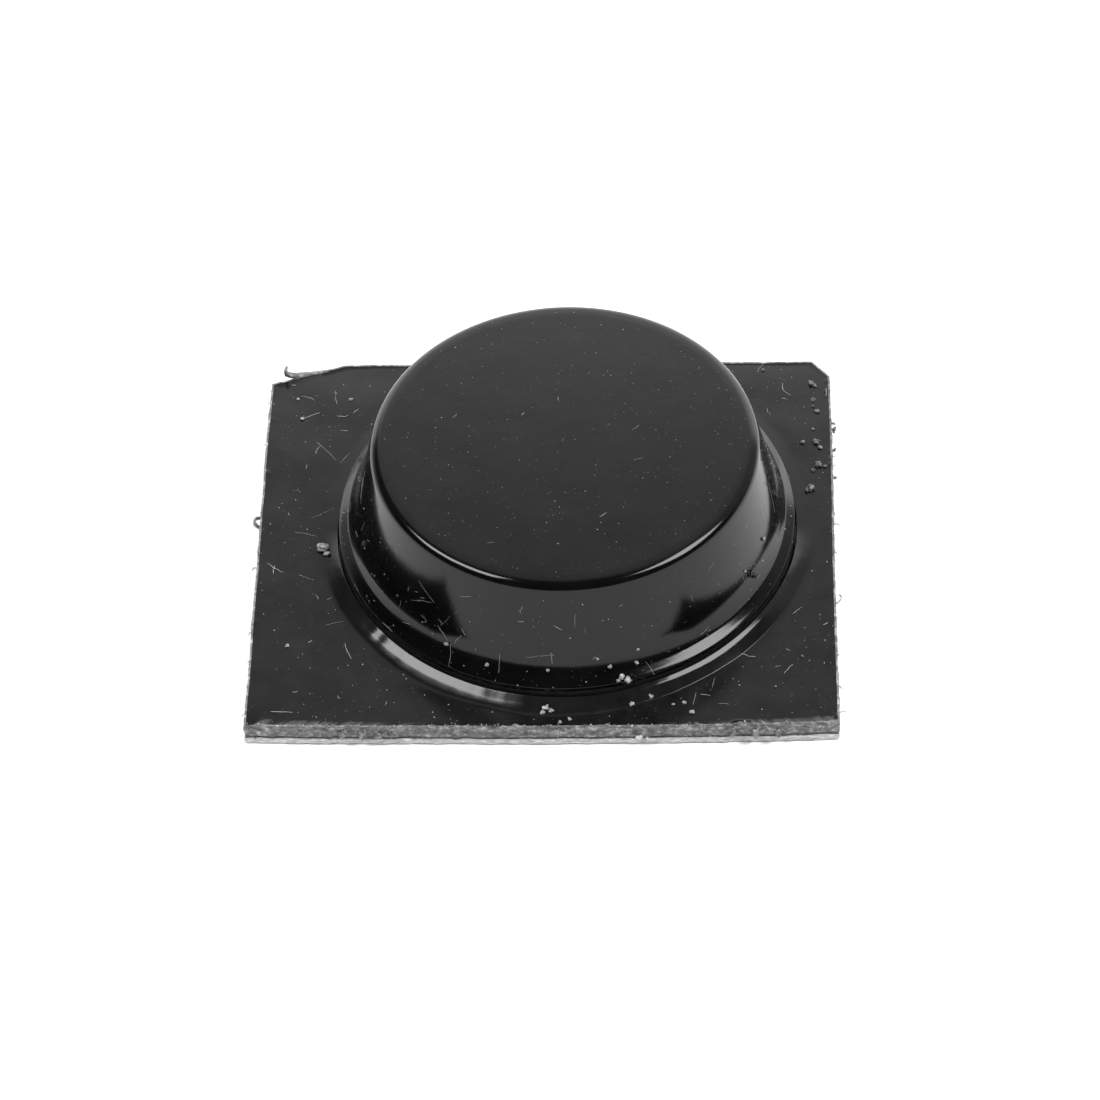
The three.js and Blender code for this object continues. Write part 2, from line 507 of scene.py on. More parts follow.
def corner_tear(x, y):
    """How far the torn front left corner of the web dips."""
    away = hypot(x + LEFT, y + FRONT)
    return CORNER_TEAR_DEPTH * exp(-((away / CORNER_TEAR_REACH) ** 2))


# ------------------------------ the web and the films
# The bead is full along the front and low elsewhere. On the right of the front it is narrower and
# taller, by these shares.
BEAD_LOW_LEVEL = 0.04
BEAD_FRONT_TURN = 0.6
BEAD_RIGHT_FROM = 0.1
BEAD_RIGHT_TURN = 0.3
RIGHT_NARROWER = 0.45
RIGHT_TALLER = 0.35
RIGHT_TOE_IN = 0.2
CREST_ROUND = 0.02
SHOULDER_ROUND = 0.04
TOE_ROUND = 0.1
RIGHT_TOE_SHARPER = 0.085
BEAD_CORNER_STEPS = 4

# Bead and insets fade out where the web is narrower than this, as the rear cut meets the hole.
BEAD_ROOM = BEAD_REACH + 0.3
FILM_ROOM = 0.3
EDGE_INSET = 0.09
# The web's upper edge rises to its burr in these steps of (inset, share of the burr's height).
BURR_RISE = ((0.05, 0.35), (0.02, 0.85), (0.0, 1.0))
BURR_SKIN_INSET = 0.03  # further in than this the burr still has the web's skin
FILM_INSET = 0.035
FILM_INSET_WANDER = 0.05
DISC_EDGE_WANDER = 0.01
LINER_PROUD = 0.01
LINER_EDGE_ROUND = 0.02

# Slots of the web's materials. A face takes the higher slot of its two rows of points.
SKIN = 0
TORN = 1
DIE_CUT = 2


def bead_noise(angle):
    spot = (HOLE_RADIUS * cos(angle), HOLE_RADIUS * sin(angle), 0)
    return wander(spot, 1.6, 31), wander(spot, 0.35, 32)


def smooth_share(t):
    """0 below t 0, 1 above t 1, and a smooth step between."""
    t = min(1.0, max(0.0, t))
    return t * t * (3 - 2 * t)


def bead_slope(angle):
    """The bead as (distance out, height over the web), from its crest beside the kiss cut."""
    slow, quick = bead_noise(angle)
    front = smooth_share(-sin(angle) / BEAD_FRONT_TURN)
    right = smooth_share((cos(angle) - BEAD_RIGHT_FROM) / BEAD_RIGHT_TURN) * front
    level = BEAD_LOW_LEVEL + (1 - BEAD_LOW_LEVEL) * front
    keep = 1 - RIGHT_NARROWER * right
    height = BEAD_HEIGHT * level * (1 + RIGHT_TALLER * right) * (1 + 0.07 * slow + 0.015 * quick)
    crest = (0.0, height)
    shoulder = (BEAD_SHOULDER_REACH * keep, height - BEAD_SHOULDER_DROP * level * keep)
    toe = (BEAD_REACH * (1 - RIGHT_TOE_IN * right) * (1 + 0.12 * slow + 0.025 * quick), 0.0)
    points = soft_corner((0, -1), crest, shoulder, CREST_ROUND, BEAD_CORNER_STEPS)
    for i in range(1, 5):
        t = 0.1 + 0.65 * i / 5
        points.append((shoulder[0] * t, crest[1] + (shoulder[1] - crest[1]) * t))
    points += soft_corner(crest, shoulder, toe, SHOULDER_ROUND, BEAD_CORNER_STEPS)
    toe_round = TOE_ROUND - RIGHT_TOE_SHARPER * right
    points += soft_corner(shoulder, toe, (toe[0] + 1, 0), toe_round, CORNER_STEPS)
    return points


def web_column(point, normal):
    """One column of the web: up the hole's wall, over the bead and the flat, down the cut face."""
    x, y = point
    angle = atan2(y, x)
    aim = Vector((cos(angle), sin(angle)))
    slow, quick = bead_noise(angle)
    width = max(hypot(x, y) - HOLE_RADIUS, 0.0)
    room = min(1.0, width / BEAD_ROOM)
    hole = HOLE_RADIUS + (0.008 * slow + 0.006 * quick + 0.008) * room
    column = [(hole, RUBBER_BASE, DIE_CUT)]
    for out, rise in bead_slope(angle):
        column.append((hole + out * room, WEB_TOP + rise, SKIN))
    made = [(aim.x * r - CUT_SHIFT, aim.y * r, z, slot) for r, z, slot in column]
    start = Vector(made[-1][:2])
    edge = Vector((x, y)) + normal * knife_wander(x, y)
    inner = edge - normal * EDGE_INSET * room
    for i in range(1, FLAT_STEPS + 1):
        t = i / FLAT_STEPS
        spot = start.lerp(inner, t)
        dip = corner_tear(spot.x, spot.y)
        lift = 0.006 * wander((spot.x, spot.y, 0), 1.8, 41) * min(1.0, 4 * t)
        made.append((spot.x, spot.y, WEB_TOP + lift - dip, SKIN))
    lip = burr(x, y)
    dip = corner_tear(x, y)
    for inset, share in BURR_RISE:
        spot = edge - normal * inset * room
        slot = SKIN if inset > BURR_SKIN_INSET else TORN
        made.append((spot.x, spot.y, WEB_TOP + lip * share - dip, slot))
    top = WEB_TOP + lip - dip
    for i in range(1, CUT_STEPS + 1):
        z = top + (RUBBER_BASE - top) * i / CUT_STEPS
        spot = edge + normal * ragged(x, y, z, 0.032, 0.018, 51)
        made.append((spot.x, spot.y, z, TORN))
    return made


def ring_of(columns, name, materials, sharp):
    """Joins columns into a closed solid, with an end face at the first and the last of them."""
    rows = len(columns[0])
    verts = [c[:3] for column in columns for c in column]
    faces = []
    slots = []
    for i in range(len(columns) - 1):
        for k in range(rows):
            n = (k + 1) % rows
            a = i * rows
            b = a + rows
            faces.append((a + k, b + k, b + n, a + n))
            slots.append(max(columns[i][k][3], columns[i][n][3]))
    faces.append(tuple(range(rows - 1, -1, -1)))
    faces.append(tuple((len(columns) - 1) * rows + k for k in range(rows)))
    slots += [TORN, TORN]
    return make_object(name, verts, [f[::-1] for f in faces], materials, slots, sharp=sharp)


def build_web():
    columns = [web_column(p, n) for p, n in zip(OPEN_OUTLINE, OPEN_NORMALS)]
    made = ring_of(columns, "web_rubber", [web_skin, cut_rubber, die_cut_rubber], 50)
    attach(made, "web")
    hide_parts("waste_web")


def film_column(point, normal):
    """One column of the web's adhesive, set back a little and ragged at its cut face."""
    x, y = point
    reach = hypot(x, y)
    aim = Vector((x, y)) / reach
    width = max(reach - HOLE_RADIUS, 0.0)
    room = min(1.0, width / FILM_ROOM)
    inset = FILM_INSET - FILM_INSET_WANDER * wander((x, y, 0), 0.6, 62)
    edge = Vector((x, y)) + normal * (knife_wander(x, y) - inset * room)
    made = []
    for z in (LINER_TOP, RUBBER_BASE):
        made.append((aim.x * HOLE_RADIUS - CUT_SHIFT, aim.y * HOLE_RADIUS, z, SKIN))
    for i in range(FILM_STEPS + 1):
        z = RUBBER_BASE + (LINER_TOP - RUBBER_BASE) * i / FILM_STEPS
        spot = edge + normal * ragged(x, y, z, 0.03, 0.015, 61) * room
        made.append((spot.x, spot.y, z, SKIN))
    return made


def build_web_film():
    columns = [film_column(p, n) for p, n in zip(OPEN_OUTLINE, OPEN_NORMALS)]
    made = ring_of(columns, "web_film", [adhesive_film, adhesive_film], 50)
    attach(made, "web")
    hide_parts("web_adhesive")


def build_foot_film():
    """The foot's disc of adhesive, with its edge drawn in a little above and below."""
    count = AROUND_FOOT
    rows = [
        (FOOT_RADIUS - 0.02, LINER_TOP),
        (FOOT_RADIUS, (LINER_TOP + RUBBER_BASE) / 2),
        (FOOT_RADIUS - 0.015, RUBBER_BASE),
    ]
    verts = [(0, 0, LINER_TOP)]
    for radius, z in rows:
        for i in range(count):
            angle = TAU * i / count
            spot = (cos(angle) * 6, sin(angle) * 6, z)
            r = radius + DISC_EDGE_WANDER * wander(spot, 0.4, 71)
            verts.append((r * cos(angle) - CUT_SHIFT, min(r * sin(angle), REAR), z))
    verts.append((0, 0, RUBBER_BASE))
    faces = []
    top = 1 + (len(rows) - 1) * count
    for i in range(count):
        j = (i + 1) % count
        faces.append((0, 1 + j, 1 + i))
        for row in range(len(rows) - 1):
            a = 1 + row * count
            faces.append((a + i, a + j, a + count + j, a + count + i))
        faces.append((len(verts) - 1, top + i, top + j))
    made = make_object("foot_film", verts, faces, [adhesive_film], sharp=50)
    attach(made, "foot")
    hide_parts("foot_adhesive")


def build_liner():
    """The liner's paper, with a frayed edge that stands a hair proud of the rubber in places."""
    verts = [(0, 0, LINER_TOP)]
    for ring in range(1, LINER_RINGS + 1):
        for p in CLOSED_OUTLINE:
            q = p * ring / (LINER_RINGS + 1)
            verts.append((q.x, q.y, LINER_TOP))
    for k in range(LINER_EDGE_STEPS + 1):
        z = LINER_TOP * (1 - k / LINER_EDGE_STEPS)
        for p, n in zip(CLOSED_OUTLINE, CLOSED_NORMALS):
            out = knife_wander(p.x, p.y) + LINER_PROUD + ragged(p.x, p.y, z, 0.02, 0.012, 81)
            round_off = LINER_EDGE_ROUND if k in (0, LINER_EDGE_STEPS) else 0.0
            q = p + n * (out - round_off)
            verts.append((q.x, q.y, z))
    verts.append((0, 0, 0))
    rings = LINER_RINGS + LINER_EDGE_STEPS + 1
    faces = pole_faces(rings, len(CLOSED_OUTLINE))
    slots_down = [1] * (LINER_RINGS + 1) + [0] * LINER_EDGE_STEPS + [1]
    slots = slots_down * len(CLOSED_OUTLINE)
    made = make_object("liner_sheet", verts, faces, [liner_paper, liner_face], slots, sharp=50)
    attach(made, "liner")
    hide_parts("release_liner")


build_foot()
build_web()
build_web_film()
build_foot_film()
build_liner()


# ------------------------------ loose bits: lint, dust and crumbs
UP = Vector((0, 0, 1))
WALL_LOW = WEB_TOP + 0.5  # loose bits lie on the wall from here
WALL_HIGH = BUTTON_TOP - 0.4
WALL_WRAP = 5.7  # the wall's radius about halfway up, by which lengths round it become angles
EDGE_MARGIN = 0.1
CLIP_MARGIN = 1.1

DUST_SEED = 7
LINT_SEED = 19
CRUMB_SEED = 23
SHRED_SEED = 31

DUST_ON_TOP = 650
DUST_ON_WALL = 900
DUST_ON_WEB = 600
LINT_ON_TOP = 7
LINT_ON_WALL = 64
LINT_ON_LEFT_WALL = 18  # of those on the wall
LINT_ON_WEB = 30
CRUMBS_ON_WEB = 34
SPECKS_ON_FRONT_EDGE = 200
SPECKS_ON_FRONT_CUT = 220
WHISKERS = 150


class Pile:
    """Gathers many small closed shapes into one mesh."""

    def __init__(self):
        self.verts = []
        self.faces = []

    def add(self, verts, faces):
        start = len(self.verts)
        self.verts += verts
        self.faces += [tuple(start + i for i in face) for face in faces]

    def build(self, name, material, body, smooth=True):
        made = make_object(name, self.verts, self.faces, [material], smooth=smooth)
        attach(made, body)


def skewed(rng, least, extra, power):
    """A random size from least up by extra. A power over 1 makes small ones commoner."""
    return least + extra * rng.random() ** power


def on_top_at(angle, radius):
    """A point on the foot's flat top and its outward normal."""
    around = Vector((cos(angle), sin(angle), 0))
    return around * radius + Vector((0, 0, BUTTON_TOP)), UP


def on_wall_at(angle, height):
    """A point on the foot's outside at a height, and its outward normal."""
    around = Vector((cos(angle), sin(angle), 0))
    for (r0, z0), (r1, z1) in zip(SECTION[TOP_STEPS:], SECTION[TOP_STEPS + 1 :]):
        if z1 <= height <= z0 and z0 > z1:
            t = (z0 - height) / (z0 - z1)
            r = r0 + (r1 - r0) * t
            normal = around * (z0 - z1) + Vector((0, 0, r1 - r0))
            return around * r + Vector((0, 0, height)), normal.normalized()
    raise ValueError("no wall at that height")


def on_wall_from_front(degrees, height):
    """As on_wall_at, by degrees round from the front and height over the web."""
    return on_wall_at(radians(degrees - 90), WEB_TOP + height)


def tangent_frame(normal):
    """Two directions square to a normal and to each other."""
    side = normal.cross(UP)
    if side.length < 0.1:
        side = normal.cross(Vector((0, 1, 0)))
    side.normalize()
    return side, normal.cross(side).normalized()


def flake(centre, normal, size, rng, flat=0.4):
    """An irregular grain sitting on a surface. Flat is its height as a share of its size."""
    side, up = tangent_frame(normal)
    turn = rng.random() * TAU
    ring = []
    sides = 5
    for i in range(sides):
        angle = turn + TAU * (i + 0.3 * rng.random()) / sides
        r = size * (0.6 + 0.5 * rng.random())
        ring.append(centre + side * r * cos(angle) + up * r * sin(angle))
    height = size * flat * (0.7 + 0.6 * rng.random())
    verts = [p - normal * size * 0.15 for p in ring]
    verts += [p * 0.45 + centre * 0.55 + normal * height for p in ring]
    return verts, swept_faces(2, sides)


def crumb(centre, size, rng, squash, lump):
    """A lumpy crumb of torn rubber. Squash is its height as a share of its width."""
    levels, around = 8, 12
    seed = rng.random() * 50
    verts = []
    for level in range(levels + 1):
        polar = pi * (level / levels)
        count = 1 if level in (0, levels) else around
        for i in range(count):
            angle = TAU * i / around
            across = sin(polar)
            way = Vector((across * cos(angle), across * sin(angle), cos(polar)))
            r = size * (1 + lump * noise.noise(way * 1.3 + Vector((seed, 0, 0))))
            r += size * 0.15 * noise.noise(way * 3.7 + Vector((0, seed, 0)))
            verts.append(centre + Vector((way.x * r, way.y * r, way.z * r * squash)))
    return verts, pole_faces(levels - 1, around)


def direction_at(points, k):
    """The direction of a line of points at one of them."""
    before = points[max(0, k - 1)]
    after = points[min(len(points) - 1, k + 1)]
    return (after - before).normalized()


def swept_faces(count, sides):
    """Faces of a rod of count rings, with both ends closed."""
    faces = []
    for k in range(count - 1):
        for i in range(sides):
            j = (i + 1) % sides
            faces.append((k * sides + i, k * sides + j, (k + 1) * sides + j, (k + 1) * sides + i))
    faces.append(tuple(range(sides - 1, -1, -1)))
    faces.append(tuple((count - 1) * sides + i for i in range(sides)))
    return faces


def tube(points, radius):
    """A thin round fibre along points, tapered at both ends."""
    verts = []
    sides = 5
    for k, p in enumerate(points):
        side, up = tangent_frame(direction_at(points, k))
        t = k / (len(points) - 1)
        r = radius * (0.35 + 0.65 * sin(pi * min(max(t, 0.04), 0.96)) ** 0.5)
        for i in range(sides):
            angle = TAU * i / sides
            verts.append(p + side * r * cos(angle) + up * r * sin(angle))
    return verts, swept_faces(len(points), sides)


def strip(points, across, width, thickness):
    """A curled shaving: a flat ribbon along points, with its width in the direction across."""
    verts = []
    across = across.normalized()
    for k, p in enumerate(points):
        out = direction_at(points, k).cross(across).normalized()
        t = k / (len(points) - 1)
        w = width * (0.35 + 0.65 * sin(pi * min(max(t, 0.08), 0.92)))
        w *= 1 + 0.25 * wander(p, 0.15, 91)
        for a, b in ((-1, -1), (1, -1), (1, 1), (-1, 1)):
            verts.append(p + across * w * a / 2 + out * thickness * b / 2)
    return verts, swept_faces(len(points), 4)


def web_allows(x, y):
    """True where a spot is clear of the two clipped corners."""
    rear_left = (x + LEFT) / REAR_LEFT_CLIP[0] + (REAR - y) / REAR_LEFT_CLIP[1]
    rear_right = (RIGHT - x) / REAR_RIGHT_CLIP[0] + (REAR - y) / REAR_RIGHT_CLIP[1]
    return rear_left > CLIP_MARGIN and rear_right > CLIP_MARGIN


def web_spot(rng):
    """A random spot on the web's flat, clear of the foot and the bead."""
    while True:
        x = rng.uniform(-LEFT + EDGE_MARGIN, RIGHT - EDGE_MARGIN)
        y = rng.uniform(-FRONT + EDGE_MARGIN, REAR - EDGE_MARGIN)
        if hypot(x, y) > HOLE_RADIUS + BEAD_REACH + EDGE_MARGIN and web_allows(x, y):
            return Vector((x, y, WEB_TOP))


def scatter_dust():
    rng = random.Random(DUST_SEED)
    foot = Pile()
    for i in range(DUST_ON_TOP):
        radius = (TOP_RADIUS - 0.3) * sqrt(rng.random())
        centre, normal = on_top_at(rng.random() * TAU, radius)
        foot.add(*flake(centre, normal, skewed(rng, 0.007, 0.014, 4), rng))
    for i in range(DUST_ON_WALL):
        height = skewed(rng, WALL_LOW, 2.5, 1.6)
        centre, normal = on_wall_at(rng.random() * TAU, height)
        foot.add(*flake(centre, normal, skewed(rng, 0.007, 0.022, 5), rng))
    foot.build("foot_dust", dust_grain, "foot", smooth=False)
    web = Pile()
    for i in range(DUST_ON_WEB):
        size = skewed(rng, 0.007, 0.022, 5)
        web.add(*flake(web_spot(rng), UP, size, rng))
    web.build("web_dust", dust_grain, "web", smooth=False)


def wandering_line(start, heading, length, place, rng, bend, steps):
    """Points of a fibre that wanders over a surface. Place turns a flat spot into a point."""
    points = []
    x, y = start
    for i in range(steps):
        points.append(place(x, y))
        heading += bend * rng.uniform(-1, 1) * 3 / steps
        x += cos(heading) * length / steps
        y += sin(heading) * length / steps
    return points


def top_place(x, y):
    return Vector((x, y, BUTTON_TOP + 0.006))


def wall_place(u, height):
    """A point just off the wall, by distance round it and height over the liner's underside."""
    centre, normal = on_wall_at(u / WALL_WRAP, min(max(height, WALL_LOW), WALL_HIGH))
    return centre + normal * 0.008


def web_place(x, y):
    return Vector((x, y, WEB_TOP + 0.012))


# Fibres on the wall: degrees from the front, height over the web, heading (radians) and length.
WALL_FIBRES = [
    (-11.7, 2.58, 1.0, 0.16), (-11.2, 2.5, 2.4, 0.14), (-12.4, 2.23, 0.1, 0.2),
    (-2.3, 2.2, -0.6, 0.3), (-2.9, 1.0, 1.5, 0.32), (7.7, 1.1, 0.8, 0.12),
    (-27, 1.35, 2.2, 0.25), (16, 2.6, 0.3, 0.15), (-38, 1.9, 2.6, 0.8),
    (-46, 1.5, 0.4, 0.9), (-35, 1.3, 1.2, 0.6),
]
FINE_FIBRES_FROM = -30  # those further left than this are finer

# Fibres on the web: x, y, heading, length and radius.
WEB_FIBRES = [
    (-7.83, -6.58, 0.0, 0.66, 0.007), (-7.55, 4.17, 0.4, 0.6, 0.006), (-7.1, 3.28, -0.8, 1.05, 0.004),
    (-6.4, 2.43, 1.0, 0.55, 0.004), (-6.45, 3.7, 0.1, 0.25, 0.005), (3.42, -6.45, 1.5, 0.5, 0.004),
    (3.93, -5.85, 1.4, 0.45, 0.003), (-6.9, -0.3, 2.9, 0.7, 0.004), (-7.1, 0.4, 0.3, 0.8, 0.003),
    (-6.9, -1.9, 2.8, 0.5, 0.004), (-6.0, -3.4, 3.3, 0.6, 0.003), (4.1, -6.4, 0.2, 0.3, 0.004),
]

# Fibres that hang down the front cut: x, lean to the right and length.
HANGING_FIBRES = [
    (-2.9, 0.1, 0.3), (-0.16, 0.05, 0.55), (1.2, -0.3, 0.2), (3.3, 0.35, 0.3),
    (5.2, 0.9, 0.45),
]


def lint_on_foot(rng):
    foot = Pile()
    for i in range(LINT_ON_TOP):
        angle = rng.random() * TAU
        r = 4.6 * sqrt(rng.random())
        start = (r * cos(angle), r * sin(angle))
        heading = rng.random() * TAU
        points = wandering_line(start, heading, skewed(rng, 0.1, 0.3, 1), top_place, rng, 0.5, 6)
        foot.add(*tube(points, skewed(rng, 0.003, 0.002, 1)))
    for i in range(LINT_ON_WALL):
        around = rng.random() * TAU
        height = skewed(rng, WEB_TOP + 0.6, 2.0, 1)
        if i >= LINT_ON_WALL - LINT_ON_LEFT_WALL:
            around = radians(rng.uniform(165, 245))
            height = skewed(rng, WALL_LOW, 1.6, 1.5)
        length = skewed(rng, 0.15, 0.9, 2)
        start = (around * WALL_WRAP, height)
        points = wandering_line(start, rng.random() * TAU, length, wall_place, rng, 0.6, 12)
        foot.add(*tube(points, skewed(rng, 0.0015, 0.0018, 1)))
    for degrees, height, heading, length in WALL_FIBRES:
        start = (radians(degrees - 90) * WALL_WRAP, WEB_TOP + height)
        points = wandering_line(start, heading, length, wall_place, rng, 0.5, 9)
        foot.add(*tube(points, 0.004 if degrees > FINE_FIBRES_FROM else 0.002))
    foot.build("foot_lint", lint_fibre, "foot")


def on_open_web(point):
    """True where a fibre's point lies on the web, outside most of the bead."""
    if hypot(point.x, point.y) <= HOLE_RADIUS + 0.22:
        return False
    if not web_allows(point.x, point.y):
        return False
    return -LEFT < point.x < RIGHT and -FRONT < point.y < REAR


def lint_on_web(rng):
    web = Pile()
    for i in range(LINT_ON_WEB):
        spot = web_spot(rng)
        length = skewed(rng, 0.15, 0.7, 2)
        heading = rng.random() * TAU
        points = wandering_line((spot.x, spot.y), heading, length, web_place, rng, 1.2, 10)
        points = [p for p in points if on_open_web(p)]
        if len(points) > 3:
            web.add(*tube(points, skewed(rng, 0.0035, 0.0035, 1)))
    for x, y, heading, length, radius in WEB_FIBRES:
        points = wandering_line((x, y), heading, length, web_place, rng, 0.35, 12)
        web.add(*tube(points, radius))
    for x, lean, length in HANGING_FIBRES:
        start = Vector((x, front_cut(x) + 0.1, WEB_TOP + 0.06))
        fall = Vector((lean, -0.42, -0.9)).normalized() * length
        points = []
        for t in range(7):
            sway = Vector((0.03 * sin(t), 0, 0.05 * sin(t / 2)))
            points.append(start + fall * t / 6 + sway)
        web.add(*tube(points, 0.006))
    web.build("web_lint", lint_fibre, "web")


def scatter_lint():
    rng = random.Random(LINT_SEED)
    lint_on_foot(rng)
    lint_on_web(rng)


# Crumbs on the web: x, y and size. First those along the right edge.
RIGHT_CRUMBS = [
    (6.5, 3.1, 0.06), (6.85, 3.12, 0.08), (6.98, 2.9, 0.06), (6.92, 2.25, 0.09),
    (6.78, 2.05, 0.06), (6.68, 1.35, 0.1), (6.78, 5.35, 0.08), (6.86, 5.3, 0.06),
    (6.82, 4.75, 0.06), (6.8, 4.5, 0.04), (6.92, 4.3, 0.06), (7.1, 2.2, 0.05),
    (7.36, 3.82, 0.05), (7.38, 3.6, 0.06), (7.36, 3.5, 0.04), (7.37, 2.8, 0.05),
    (7.36, 1.75, 0.05),
]
PALE_CRUMBS = [
    (-0.5, -6.52, 0.11), (-0.34, -6.62, 0.07), (-0.57, -6.68, 0.06), (2.3, -6.12, 0.08),
    (1.8, -6.4, 0.06), (0.15, -6.9, 0.05), (-0.1, -7.0, 0.05), (3.4, -6.7, 0.06),
    (-6.72, -0.75, 0.15), (-6.6, -0.95, 0.08), (2.9, -6.4, 0.04), (3.2, -6.35, 0.05),
    (-7.55, 4.17, 0.05), (-6.2, 4.9, 0.05), (-7.7, 4.93, 0.04), (-7.5, -4.28, 0.05),
]
# And those on the wall: degrees from the front, height over the web and size.
WALL_CRUMBS = [
    (14.5, 0.6, 0.07), (15.8, 0.54, 0.09), (13.5, 0.56, 0.05), (19, 0.8, 0.05),
    (12, 0.85, 0.05), (-4, 0.85, 0.05), (-20, 0.75, 0.05), (9, 1.1, 0.04),
    (20, 1.15, 0.04), (-32, 0.9, 0.05), (58, 1.5, 0.04), (70, 1.6, 0.05),
]
DARK_CRUMBS = [(60, 1.25, 0.09), (61, 1.12, 0.07), (59, 1.38, 0.05)]
DOUBLE_CRUMB_FROM = 0.07  # a right crumb larger than this has a smaller one beside it


def dark_crumbs_on_web(rng):
    web = Pile()
    for x, y, size in RIGHT_CRUMBS:
        centre = Vector((x, y, WEB_TOP + 0.5 * size))
        web.add(*crumb(centre, size, rng, 0.6, 0.9))
        if size > DOUBLE_CRUMB_FROM:
            aside = Vector((rng.uniform(-1, 1), rng.uniform(-1, 1), 0)) * size
            web.add(*crumb(centre + aside, size * 0.6, rng, 0.7, 0.9))
    for i in range(CRUMBS_ON_WEB):
        spot = web_spot(rng)
        size = skewed(rng, 0.014, 0.03, 3)
        web.add(*crumb(spot + Vector((0, 0, size * 0.5)), size, rng, 0.7, 0.8))
    web.build("web_crumbs", rubber_crumb, "web")


def pale_crumbs_on_web(rng):
    """The pale crumbs, and the specks on the front cut and along its upper edge."""
    pale = Pile()
    for x, y, size in PALE_CRUMBS:
        pale.add(*crumb(Vector((x, y, WEB_TOP + 0.5 * size)), size, rng, 0.7, 1.0))
    front = [(p, n) for p, n in zip(OPEN_OUTLINE, OPEN_NORMALS) if p.y < -FRONT]
    up_and_out = Vector((0, -0.5, 1)).normalized()
    for i in range(SPECKS_ON_FRONT_EDGE):
        edge, normal = rng.choice(front)
        spot = edge + normal * (knife_wander(edge.x, edge.y) - 0.07 * rng.random() ** 2)
        height = WEB_TOP + 0.02 + burr(edge.x, edge.y) * rng.random()
        centre = Vector((spot.x, spot.y, height))
        pale.add(*flake(centre, up_and_out, skewed(rng, 0.012, 0.03, 3), rng, 0.7))
    out_and_up = Vector((0, -1, 0.3)).normalized()
    for i in range(SPECKS_ON_FRONT_CUT):
        edge, normal = rng.choice(front)
        spot = edge + normal * (knife_wander(edge.x, edge.y) + 0.012)
        centre = Vector((spot.x, spot.y, rng.uniform(LINER_TOP, WEB_TOP)))
        pale.add(*flake(centre, out_and_up, skewed(rng, 0.01, 0.03, 3), rng, 0.7))
    pale.build("web_pale_crumbs", pale_crumb, "web")


def crumbs_on_wall(rng, placed, off, squash, name, material):
    """Crumbs on the foot's wall, each off it by a share of its size."""
    foot = Pile()
    for degrees, height, size in placed:
        centre, normal = on_wall_from_front(degrees, height)
        foot.add(*crumb(centre + normal * size * off, size, rng, squash, 1.0))
    foot.build(name, material, "foot")


def scatter_crumbs():
    rng = random.Random(CRUMB_SEED)
    dark_crumbs_on_web(rng)
    pale_crumbs_on_web(rng)
    crumbs_on_wall(rng, WALL_CRUMBS, 0.4, 0.8, "foot_pale_crumbs", pale_crumb)
    crumbs_on_wall(rng, DARK_CRUMBS, 0.3, 0.9, "foot_dark_crumb", die_cut_rubber)


def curl_points(start, heading, length, bend, rise, steps=14):
    """A line that curls steadily, climbing and falling once."""
    points = []
    spot = Vector(start)
    for i in range(steps + 1):
        t = i / steps
        points.append(spot + Vector((0, 0, rise * sin(pi * t))))
        way = heading + bend * t
        spot = spot + Vector((cos(way), sin(way), 0)) * length / steps
    return points


# The shaving along the rear left clip, which curls up at its left end.
LIP_LINE = [
    (-6.9, 6.05, 0.68), (-7.3, 5.96, 0.7), (-7.7, 5.86, 0.72), (-7.95, 5.81, 0.78),
    (-8.08, 5.79, 0.88), (-8.1, 5.79, 1.0), (-8.04, 5.79, 1.1),
]
# Lumps that the knife tore out of the front cut: x and size.
TORN_LUMPS = [
    (-5.9, 0.09), (-5.35, 0.12), (-4.95, 0.09), (-4.6, 0.07),
    (4.5, 0.08), (5.1, 0.1), (5.7, 0.08),
]
# White specks at the foot of the front cut: a point and a size.
WHITE_SPECKS = [((2.0, -7.2, 0.3), 0.09), ((2.2, -7.2, 0.24), 0.06)]


def whiskers(pile, rng):
    """Short curled threads of rubber, most of them where the burrs are."""
    count = len(OPEN_OUTLINE)
    for i in range(WHISKERS):
        k = rng.randrange(4, count - 4)
        edge, normal = OPEN_OUTLINE[k], OPEN_NORMALS[k]
        share = 0.5 + 0.5 * burr_wave(edge.x, edge.y)
        if rng.random() > 1.3 * share:
            continue
        height = skewed(rng, RUBBER_BASE, WEB_THICKNESS, 0.4)
        root = edge + normal * (knife_wander(edge.x, edge.y) - 0.03)
        heading = atan2(normal.y, normal.x) + rng.uniform(-1.5, 1.5)
        length = skewed(rng, 0.05, 0.2, 2)
        rise = 0.06 * rng.random()
        bend = rng.uniform(-2.5, 2.5)
        line = curl_points((root.x, root.y, height), heading, length, bend, rise, 7)
        pile.add(*tube(line, skewed(rng, 0.009, 0.012, 1)))


def scatter_shreds():
    """Whiskers, shavings and torn lumps along the cuts, and two white specks."""
    rng = random.Random(SHRED_SEED)
    pile = Pile()
    whiskers(pile, rng)
    leaning = Vector((0.2, 0, 1))
    left_curl = curl_points((-8.42, 0.28, 0.42), radians(200), 0.7, -3.8, 0.12)
    pile.add(*strip(left_curl, leaning, 0.15, 0.04))
    lip = [Vector(p) for p in LIP_LINE]
    pile.add(*strip(lip, Vector((0.1, 1, 0.3)), 0.2, 0.06))
    right_curl = curl_points((7.3, -2.7, 0.5), radians(20), 0.4, 2.0, 0.05)
    pile.add(*strip(right_curl, leaning, 0.07, 0.02))
    for x, size in TORN_LUMPS:
        centre = Vector((x, front_cut(x) - 0.02, RUBBER_BASE + 0.12))
        pile.add(*crumb(centre, size, rng, 1.3, 1.1))
    pile.build("web_shreds", torn_crumb, "web")
    white = Pile()
    for place, size in WHITE_SPECKS:
        white.add(*crumb(Vector(place), size, rng, 0.9, 0.8))
    white.build("web_white_speck", lint_fibre, "web")


